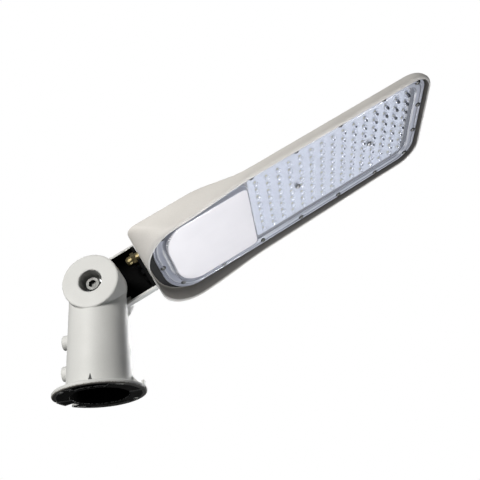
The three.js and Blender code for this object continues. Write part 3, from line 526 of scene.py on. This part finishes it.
shell = []
for share in crown_shares:
    shell.append(raised(body_ring(9, 1, share), lambda x, s=share: crown_z(x, s)))
for inset, square, drop in shoulder_rings:
    outline = body_ring(inset, square)
    shell.append(raised(outline, lambda x, d=drop: mix(crease_z(x), back_edge_z(x), d)))
shell.append(raised(body_ring(0.2, 0.35), lambda x: crease_z(x) - 0.8))
for inset, square, lift in band_rings:
    shell.append(raised(body_ring(inset, square), lambda x, h=lift: band_z(x, h)))
outer_lip, inner_lip = body_ring(2.1, 0), opening_ring(0)
for share, lift in ((0.0, 0.0), (0.22, 0.0), (0.38, 0.25), (0.45, 0.9)):
    lip = [(mix(a[0], b[0], share), mix(a[1], b[1], share)) for a, b in zip(outer_lip, inner_lip)]
    shell.append(raised(lip, lambda x, h=lift: rim_z(x) + h))
outside_strips = len(shell) - 1
shell.append(raised(opening_ring(0), lambda x: mix(rim_z(x), lens_face, 0.5)))
shell.append(raised(opening_ring(0.1), lambda x: -seat_depth - 0.6))
shell.append(raised(opening_ring(0.5), lambda x: -seat_depth))
shell.append(raised(opening_ring(9), lambda x: -seat_depth))
shell.append(raised(opening_ring(9.4), lambda x: -seat_depth + 2))
inside_strips = len(shell) - 1 - outside_strips
# Painted shade: the strips inside the rim, down to the seat, get the darkened shade coat.
strip_coat_or_shade = [0] * outside_strips + [1] * inside_strips
housing = skin("housing_casting", shell, housing_coat, painted_shade_coat, bands=strip_coat_or_shade)
rounded = housing.modifiers.new("round", "SUBSURF")
rounded.levels = rounded.render_levels = 1
settle(housing)
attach(housing, "lamp_head")
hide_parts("housing")

# ------------------------------------------------------------------ lens cover
# One clear moulding: a flange with a bead all round, a lower field over the LEDs and a raised
# cap over the driver. Its edge sits on the gasket.


def lens_ring(inset):
    return paddle(70 + inset, 435.1 - inset, 75.6 - inset, 36, 58 - inset, 24.1 - inset * 0.5)


def cap_ring(inset):
    corner = [max(size - inset, 1.5) for size in (25.5, 31.5, 9)]
    return paddle(84.5 + inset, 194.5 - inset, 65 - inset, *corner, follow=False)


def clear_plastic():
    material, shader, place = new_material("clear_plastic")
    tone = place.noise(22.0, 3.0)
    feed(shader, "Base Color", tone.colours((0.60, 0.63, 0.72), (0.72, 0.74, 0.81)))
    feed(shader, "Roughness", 0.07 + place.noise(140.0) * 0.08)
    feed(shader, "Alpha", 0.17 + tone * 0.10)
    bumped(shader, place.noise(180.0, 2.0), 0.00012, 0.35)
    shader.inputs["IOR"].default_value = 1.58
    return material


def frosted_flange():
    material, shader, place = new_material("frosted_flange")
    along = place.node("ShaderNodeSeparateXYZ", i0=place)
    tone = along.between(0.05, 0.17) * 0.85 + place.noise(30.0) * 0.15
    feed(shader, "Base Color", tone.colours((0.25, 0.26, 0.31), (0.60, 0.62, 0.70)))
    feed(shader, "Roughness", 0.12 + place.noise(140.0) * 0.10)
    feed(shader, "Alpha", 0.70 + place.noise(25.0) * 0.18)
    bumped(shader, place.noise(220.0, 2.0), 0.0001, 0.35)
    return material


# Painted shade: the near-black edge of the cover stands for the shade in the gap beside the housing's
# rim.
def dark_seam():
    material, shader, place = new_material("dark_seam")
    feed(shader, "Base Color", place.noise(60.0).colours((0.03, 0.03, 0.035), (0.07, 0.07, 0.08)))
    feed(shader, "Roughness", 0.3 + place.noise(200.0) * 0.2)
    return material


# Painted shade: this dark grey stands for the shade in the grooves beside the bead and at the step into
# the field.
def pale_groove():
    material, shader, place = new_material("pale_groove")
    feed(shader, "Base Color", place.noise(60.0).colours((0.16, 0.17, 0.20), (0.26, 0.27, 0.31)))
    feed(shader, "Roughness", 0.25 + place.noise(200.0) * 0.2)
    return material


CLEAR, FROSTED, SEAM_SHADE, GROOVE_SHADE = 0, 1, 2, 3
flange_profile = (
    (0, -12.5, SEAM_SHADE), (0, -14.6, SEAM_SHADE), (0.5, -15.0, FROSTED), (2.6, -15.0, FROSTED),
    (3.0, -15.7, FROSTED), (3.5, -16.1, FROSTED), (4.1, -16.1, FROSTED), (4.6, -15.7, GROOVE_SHADE),
    (5.1, -15.0, GROOVE_SHADE), (5.9, -15.0, FROSTED), (9.8, -15.0, FROSTED), (10.2, -14.8, GROOVE_SHADE),
    (11.2, -13.5, FROSTED), (11.8, -13.3, CLEAR),
)
cap_profile = (
    (-0.5, -13.3, FROSTED), (0.0, -13.7, FROSTED), (0.6, -18.4, FROSTED), (1.0, -19.2, CLEAR),
    (1.8, -19.6, CLEAR), (2.6, -19.6, CLEAR), (14.0, -19.6, CLEAR),
)
profile = [(lens_ring(i), z, kind) for i, z, kind in flange_profile]
profile += [(cap_ring(i), z, kind) for i, z, kind in cap_profile]
cover_skin = [raised(outline, lambda x, h=z: h) for outline, z, kind in profile]
cover_plastics = (clear_plastic(), frosted_flange(), dark_seam(), pale_groove())
cover_bands = [kind for outline, z, kind in profile]
lens_cover = skin("lens_moulding", cover_skin, *cover_plastics, bands=cover_bands)
lens_cover.data.set_sharp_from_angle(angle=math.radians(50))
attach(lens_cover, "lamp_head")
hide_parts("lens_cover")

# ------------------------------------------------------------------ lens domes
# A small bulging lens over each LED, longer across the lamp than along it, in fifteen
# columns of eight. A tree of nodes sets them out on the field of the cover.
led_columns, led_rows = 15, 8
led_pitch, first_column = 14.7, 207.0
dome_level, chip_level, reflection_level = -0.0133, -0.0103, -0.0154


def node_tree(name, inputs):
    tree = bpy.data.node_groups.new(name, "GeometryNodeTree")
    tree.interface.new_socket("Geometry", in_out="INPUT", socket_type="NodeSocketGeometry")
    tree.interface.new_socket("Geometry", in_out="OUTPUT", socket_type="NodeSocketGeometry")
    for label, (kind, value) in inputs.items():
        socket = tree.interface.new_socket(label, in_out="INPUT", socket_type=kind)
        if value is not None:
            socket.default_value = value
    return tree, tree.nodes.new("NodeGroupInput"), tree.nodes.new("NodeGroupOutput")


def wired(tree, kind, settings=(), **sockets):
    made = tree.nodes.new(kind)
    for key, value in dict(settings).items():
        setattr(made, key, value)
    for key, value in sockets.items():
        names = [s for s in made.inputs if s.name.replace(" ", "_") == key and s.enabled]
        socket = names[0] if names else made.inputs[int(key[1:])]
        if isinstance(value, bpy.types.NodeSocket):
            tree.links.new(value, socket)
        else:
            socket.default_value = value
    return made


def grown(name, tree, material, start=None, **values):
    """Runs a tree and keeps what it makes as plain mesh, in the head's frame.

    The tree works on the mesh start, or on an empty one."""
    made = add_object(name, start or bpy.data.meshes.new(name), material)
    grow = made.modifiers.new("grow", "NODES")
    grow.node_group = tree
    values["Material"] = material
    for item in tree.interface.items_tree:
        if item.in_out == "INPUT" and item.name in values:
            grow[item.identifier] = values[item.name]
    ready = made.evaluated_get(bpy.context.evaluated_depsgraph_get())
    mesh = bpy.data.meshes.new_from_object(ready)
    made.modifiers.remove(grow)
    made.data = mesh
    mesh.transform(head_frame)
    mesh.materials.clear()
    mesh.materials.append(material)
    shade_smooth(mesh)
    return made


def lattice_tree():
    """Copies a squashed ball, or a block, to each crossing of a lattice.

    They shrink with their distance from one corner, to nothing at the reach."""
    tree, given, result = node_tree("lattice", {
        "Columns": ("NodeSocketInt", 15), "Rows": ("NodeSocketInt", 8),
        "Pitch": ("NodeSocketFloat", 0.0147), "Centre": ("NodeSocketVector", None),
        "Size": ("NodeSocketVector", None), "Block": ("NodeSocketBool", False),
        "Turn": ("NodeSocketFloat", 0.0), "Corner": ("NodeSocketVector", None),
        "Reach": ("NodeSocketFloat", 1000.0), "Material": ("NodeSocketMaterial", None)})
    take = given.outputs
    times, less = {"operation": "MULTIPLY_ADD"}, {"operation": "SUBTRACT"}
    pitch = take["Pitch"]
    span = [wired(tree, "ShaderNodeMath", times, i0=take[count], i1=pitch, i2=0.0)
            for count in ("Columns", "Rows")]
    wide = [wired(tree, "ShaderNodeMath", less, i0=whole.outputs[0], i1=pitch) for whole in span]
    field = wired(tree, "GeometryNodeMeshGrid", Size_X=wide[0].outputs[0],
                  Size_Y=wide[1].outputs[0], Vertices_X=take["Columns"], Vertices_Y=take["Rows"])
    placed = wired(tree, "GeometryNodeTransform", Geometry=field.outputs[0], Translation=take["Centre"])
    ball = wired(tree, "GeometryNodeMeshUVSphere", Segments=14, Rings=8, Radius=0.5)
    brick = wired(tree, "GeometryNodeMeshCube")
    chosen = tree.nodes.new("GeometryNodeSwitch")
    chosen.input_type = "GEOMETRY"
    tree.links.new(take["Block"], chosen.inputs["Switch"])
    tree.links.new(ball.outputs[0], chosen.inputs["False"])
    tree.links.new(brick.outputs[0], chosen.inputs["True"])
    spot = tree.nodes.new("GeometryNodeInputPosition")
    away = wired(tree, "ShaderNodeVectorMath", {"operation": "DISTANCE"},
                 i0=spot.outputs[0], i1=take["Corner"])
    share = wired(tree, "ShaderNodeMath", {"operation": "DIVIDE"},
                  i0=away.outputs["Value"], i1=take["Reach"])
    left = wired(tree, "ShaderNodeMath", {"operation": "SUBTRACT", "use_clamp": True},
                 i0=1.0, i1=share.outputs[0])
    sized = wired(tree, "ShaderNodeVectorMath", {"operation": "SCALE"},
                  i0=take["Size"], Scale=left.outputs[0])
    turned = wired(tree, "ShaderNodeCombineXYZ", Z=take["Turn"])
    copies = wired(tree, "GeometryNodeInstanceOnPoints", Points=placed.outputs[0],
                   Instance=chosen.outputs[0], Rotation=turned.outputs[0], Scale=sized.outputs[0])
    real = wired(tree, "GeometryNodeRealizeInstances", Geometry=copies.outputs[0])
    coated = wired(tree, "GeometryNodeSetMaterial", Geometry=real.outputs[0], Material=take["Material"])
    tree.links.new(coated.outputs[0], result.inputs[0])
    return tree


lattice = lattice_tree()


def dome_plastic():
    material, shader, place = new_material("dome_plastic")
    feed(shader, "Base Color", place.noise(60.0).colours((0.82, 0.85, 0.94), (0.90, 0.92, 0.98)))
    feed(shader, "Roughness", 0.05 + place.noise(300.0) * 0.06)
    feed(shader, "Alpha", 0.20 + place.noise(90.0) * 0.12)
    shader.inputs["IOR"].default_value = 1.58
    return material


clear_dome = dome_plastic()
field_middle = (first_column + led_pitch * (led_columns - 1) / 2) * MM
last_column = first_column + led_pitch * (led_columns - 1)
far_corner = (last_column * MM, -led_pitch * 3.5 * MM, -0.0136)
lattice_size = {"Columns": led_columns, "Rows": led_rows, "Pitch": led_pitch * MM}
domes = grown("lens_domes", lattice, clear_dome, Centre=(field_middle, 0, dome_level),
              Size=(0.0068, 0.0092, 0.0040), Corner=far_corner, **lattice_size)
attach(domes, "lamp_head")

# ------------------------------------------------------------------ back fins
# Seven straight cooling fins cast on the back, following its curve; the outer ones are shorter.


def fin_tree():
    """Upright bars in a row across the back; each drops and shortens with the square of its place."""
    tree, given, result = node_tree("fins", {
        "Count": ("NodeSocketInt", 7), "Pitch": ("NodeSocketFloat", 0.0205),
        "Middle": ("NodeSocketVector", None), "Bar": ("NodeSocketVector", None),
        "Fall": ("NodeSocketFloat", 1.04), "Shorten": ("NodeSocketFloat", 3.0),
        "Material": ("NodeSocketMaterial", None)})
    take = given.outputs
    step = wired(tree, "ShaderNodeCombineXYZ", Y=take["Pitch"])
    line = wired(tree, "GeometryNodeMeshLine", Count=take["Count"], Offset=step.outputs[0])
    times = {"operation": "MULTIPLY"}
    placed = wired(tree, "GeometryNodeTransform", Geometry=line.outputs[0],
                   Translation=take["Middle"])
    position = tree.nodes.new("GeometryNodeInputPosition")
    spot = wired(tree, "ShaderNodeSeparateXYZ", i0=position.outputs[0])
    across = spot.outputs["Y"]
    square = wired(tree, "ShaderNodeMath", times, i0=across, i1=across)
    fall = wired(tree, "ShaderNodeMath", times, i0=square.outputs[0], i1=take["Fall"])
    down = wired(tree, "ShaderNodeMath", times, i0=fall.outputs[0], i1=-1.0)
    lower = wired(tree, "ShaderNodeCombineXYZ", Z=down.outputs[0])
    curved = wired(tree, "GeometryNodeSetPosition", Geometry=placed.outputs[0],
                   Offset=lower.outputs[0])
    loss = wired(tree, "ShaderNodeMath", times, i0=square.outputs[0], i1=take["Shorten"])
    whole = wired(tree, "ShaderNodeSeparateXYZ", i0=take["Bar"])
    length = wired(tree, "ShaderNodeMath", {"operation": "SUBTRACT"},
                   i0=whole.outputs["X"], i1=loss.outputs[0])
    size = wired(tree, "ShaderNodeCombineXYZ", X=length.outputs[0], Y=whole.outputs["Y"],
                 Z=whole.outputs["Z"])
    bar = wired(tree, "GeometryNodeMeshCube")
    copies = wired(tree, "GeometryNodeInstanceOnPoints", Points=curved.outputs[0],
                   Instance=bar.outputs[0], Scale=size.outputs[0])
    real = wired(tree, "GeometryNodeRealizeInstances", Geometry=copies.outputs[0])
    coated = wired(tree, "GeometryNodeSetMaterial", Geometry=real.outputs[0], Material=take["Material"])
    tree.links.new(coated.outputs[0], result.inputs[0])
    return tree


fins = grown("back_fins", fin_tree(), housing_coat, Count=7, Pitch=0.0205,
             Middle=(0.338, -0.0615, -0.0010), Bar=(0.172, 0.0024, 0.0060), Fall=1.0433,
             Shorten=3.011)
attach(fins, "lamp_head")

# ------------------------------------------------------------------ light board and LEDs
# A white-lacquered aluminium board with faint copper tracks, and a yellow LED under each dome.
# The dark blobs in the domes are no pieces of the lamp: they are painted reflections, dark shapes
# standing for the dark reflections in the domes, and they are smaller the further they are from the
# tip.


def board_lacquer():
    material, shader, place = new_material("board_lacquer")
    track = place.node("ShaderNodeTexWave", {"wave_type": "BANDS", "bands_direction": "X"},
                       Vector=place, Scale=22.0, Distortion=1.2, Detail=2.0)
    tone = track.between(0.55, 0.8) * 0.25 + place.noise(30.0) * 0.4
    feed(shader, "Base Color", tone.colours((0.79, 0.82, 0.91), (0.88, 0.91, 0.98)))
    feed(shader, "Roughness", 0.32 + place.noise(120.0) * 0.15)
    bumped(shader, track, 0.00003, 0.5)
    return material


def coat_node(node, material):
    shown = bpy.data.objects[node]
    for slot in shown.material_slots:
        slot.material = material


white_board = board_lacquer()
coat_node("light_board", white_board)


def phosphor():
    material, shader, place = new_material("phosphor")
    feed(shader, "Base Color", place.noise(700.0).colours((0.86, 0.78, 0.36), (0.93, 0.88, 0.55)))
    feed(shader, "Roughness", 0.35 + place.noise(500.0) * 0.2)
    return material


yellow = phosphor()
chips = grown("led_chips", lattice, yellow, Centre=(field_middle, 0, chip_level),
              Size=(0.0026, 0.0026, 0.0009), Block=True, Corner=far_corner, **lattice_size)
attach(chips, "lamp_head")


def painted_reflection_material():
    material, shader, place = new_material("dome_heart")
    feed(shader, "Base Color", place.noise(200.0).colours((0.01, 0.012, 0.02), (0.03, 0.035, 0.05)))
    feed(shader, "Roughness", 0.3 + place.noise(300.0) * 0.1)
    return material


reflection_black = painted_reflection_material()
painted_reflections = grown("dome_hearts", lattice, reflection_black, Centre=(field_middle, 0, reflection_level),
               Size=(0.0040, 0.0100, 0.0030), Turn=math.radians(-24), Corner=far_corner,
               Reach=0.155, **lattice_size)
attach(painted_reflections, "lamp_head")

# ------------------------------------------------------------------ driver cover plate
# A white plastic plate behind the raised cap, faintly cloudy.


def white_plate():
    material, shader, place = new_material("white_plate")
    feed(shader, "Base Color", place.noise(9.0, 3.0).colours((0.80, 0.765, 0.76), (0.88, 0.835, 0.83)))
    feed(shader, "Roughness", 0.35 + place.noise(40.0) * 0.12)
    bumped(shader, place.noise(500.0), 0.00005, 0.4)
    return material


def plate_ring(inset):
    corner = [max(size - inset, 1.5) for size in (30, 44, 9)]
    return paddle(85.5 + inset, 194.5 - inset, 65 - inset, *corner, follow=False)


plate_white = white_plate()
plate_profile = ((0.9, -14.0), (1.4, -17.6), (2.0, -18.0), (2.8, -18.1), (14.0, -18.1))
plate_skin = [raised(plate_ring(inset), lambda x, h=level: h) for inset, level in plate_profile]
plate = skin("driver_plate", plate_skin, plate_white)
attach(plate, "lamp_head")
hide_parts("driver_cover_plate")

# ------------------------------------------------------------------ lens screws
# Small pan-head steel screws with a cross recess. Seventeen hold the flange of the cover, and
# two stand in the light field.


def bright_steel(name="bright_steel", pale=(0.74, 0.75, 0.77), deep=(0.58, 0.59, 0.61), dull=0.20):
    material, shader, place = new_material(name)
    feed(shader, "Base Color", place.noise(260.0, 4.0).colours(pale, deep))
    feed(shader, "Roughness", dull + place.noise(600.0) * 0.18)
    shader.inputs["Metallic"].default_value = 1.0
    bumped(shader, place.noise(1500.0), 0.00004, 0.4)
    return material


steel = bright_steel()
worn_steel = bright_steel("worn_steel", (0.42, 0.42, 0.42), (0.20, 0.20, 0.20), 0.32)
plated = bright_steel("zinc_plate", (0.17, 0.17, 0.165), (0.05, 0.05, 0.048), 0.38)


def screw_tree():
    """A pan head with a cross cut in it, copied to each point of the mesh it is given."""
    tree, given, result = node_tree("pan_screws", {
        "Radius": ("NodeSocketFloat", 0.0034), "Height": ("NodeSocketFloat", 0.0022),
        "Recess": ("NodeSocketFloat", 0.0040), "Material": ("NodeSocketMaterial", None)})
    take = given.outputs
    wide = wired(tree, "ShaderNodeMath", {"operation": "MULTIPLY"}, i0=take["Radius"], i1=2.0)
    tall = wired(tree, "ShaderNodeMath", {"operation": "MULTIPLY"}, i0=take["Height"], i1=2.0)
    ball = wired(tree, "GeometryNodeMeshUVSphere", Segments=24, Rings=12, Radius=0.5)
    shape = wired(tree, "ShaderNodeCombineXYZ", X=wide.outputs[0], Y=wide.outputs[0], Z=tall.outputs[0])
    head = wired(tree, "GeometryNodeTransform", Geometry=ball.outputs[0], Scale=shape.outputs[0])
    slots = []
    slot_turn, slot_share = 0.3, 0.24
    for turn in (slot_turn, slot_turn + math.pi / 2):
        slim = wired(tree, "ShaderNodeMath", {"operation": "MULTIPLY"},
                     i0=take["Recess"], i1=slot_share)
        bar = wired(tree, "ShaderNodeCombineXYZ", X=take["Recess"], Y=slim.outputs[0],
                    Z=take["Height"])
        brick = wired(tree, "GeometryNodeMeshCube", Size=bar.outputs[0])
        down = wired(tree, "ShaderNodeMath", {"operation": "MULTIPLY"}, i0=take["Height"], i1=-1.0)
        drop = wired(tree, "ShaderNodeCombineXYZ", Z=down.outputs[0])
        slots.append(wired(tree, "GeometryNodeTransform", Geometry=brick.outputs[0],
                           Translation=drop.outputs[0], Rotation=(0, 0, turn)))
    cut = wired(tree, "GeometryNodeMeshBoolean", {"operation": "DIFFERENCE"}, Mesh_1=head.outputs[0])
    for slot_cut in slots:
        tree.links.new(slot_cut.outputs[0], cut.inputs[1])
    copies = wired(tree, "GeometryNodeInstanceOnPoints", Points=take["Geometry"],
                   Instance=cut.outputs[0])
    real = wired(tree, "GeometryNodeRealizeInstances", Geometry=copies.outputs[0])
    coated = wired(tree, "GeometryNodeSetMaterial", Geometry=real.outputs[0], Material=take["Material"])
    tree.links.new(coated.outputs[0], result.inputs[0])
    return tree


pan_screws = screw_tree()


def screws_at(name, nodes, seat, material):
    """One pan head for each node, on the surface at height seat in the head's frame."""
    spots = []
    for node in nodes:
        box_low, box_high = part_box(node)
        middle = to_head @ ((Vector(box_low) + Vector(box_high)) / 2)
        spots.append((middle.x, middle.y, seat))
    points = bpy.data.meshes.new(name)
    points.from_pydata(spots, [], [])
    made = grown(name, pan_screws, material, points)
    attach(made, "lamp_head")
    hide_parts(*nodes)
    return made


edge_nodes = [f"lens_screw_{n:02d}" for n in range(1, 18)]
screws_at("edge_screw_heads", edge_nodes, -0.0152, plated)
screws_at("field_screw_heads", ["centre_screw_1", "centre_screw_2"], -0.0140, worn_steel)

# ------------------------------------------------------------------ gasket and seals
# Black rubber: the gasket under the cover's flange and the seal inside the gland.


def rubber():
    material, shader, place = new_material("rubber")
    feed(shader, "Base Color", place.noise(70.0).colours((0.008, 0.008, 0.009), (0.02, 0.02, 0.02)))
    feed(shader, "Roughness", 0.65 + place.noise(200.0) * 0.2)
    shader.inputs["Specular IOR Level"].default_value = 0.1
    bumped(shader, place.noise(900.0), 0.0001, 0.5)
    return material


black_rubber = rubber()
for node in ("lens_gasket", "gland_seal"):
    coat_node(node, black_rubber)

# ------------------------------------------------------------------ fittings
# Steel bolts and screws, the brass gland and the earth tag, and what is shut in the head.


def brass():
    material, shader, place = new_material("brass")
    feed(shader, "Base Color", place.noise(300.0, 4.0).colours((0.40, 0.33, 0.17), (0.16, 0.13, 0.07)))
    feed(shader, "Roughness", 0.25 + place.noise(500.0) * 0.2)
    shader.inputs["Metallic"].default_value = 1.0
    bumped(shader, place.noise(900.0), 0.00005, 0.5)
    return material


yellow_brass = brass()
for node in ("gland_body", "gland_cap", "earth_tag"):
    coat_node(node, yellow_brass)
coat_node("pivot_bolt", plated)
for node in ("lower_clamp_screw", "upper_clamp_screw", "front_pivot_washer", "rear_pivot_washer",
             "pivot_nut", "earth_screw", "driver_screw_1", "driver_screw_2"):
    coat_node(node, steel)


def moulded(name, pale, deep):
    material, shader, place = new_material(name)
    feed(shader, "Base Color", place.noise(50.0).colours(pale, deep))
    feed(shader, "Roughness", 0.4 + place.noise(150.0) * 0.15)
    bumped(shader, place.noise(800.0), 0.00006, 0.5)
    return material


black_oxide = bright_steel("black_oxide", (0.012, 0.012, 0.013), (0.005, 0.005, 0.005), 0.5)
for node in ("neck_screw_1", "neck_screw_2", "neck_screw_3"):
    coat_node(node, black_oxide)
coat_node("led_driver", moulded("driver_case", (0.42, 0.43, 0.44), (0.50, 0.51, 0.52)))
coat_node("terminal_block", moulded("terminal_nylon", (0.74, 0.72, 0.64), (0.80, 0.78, 0.70)))
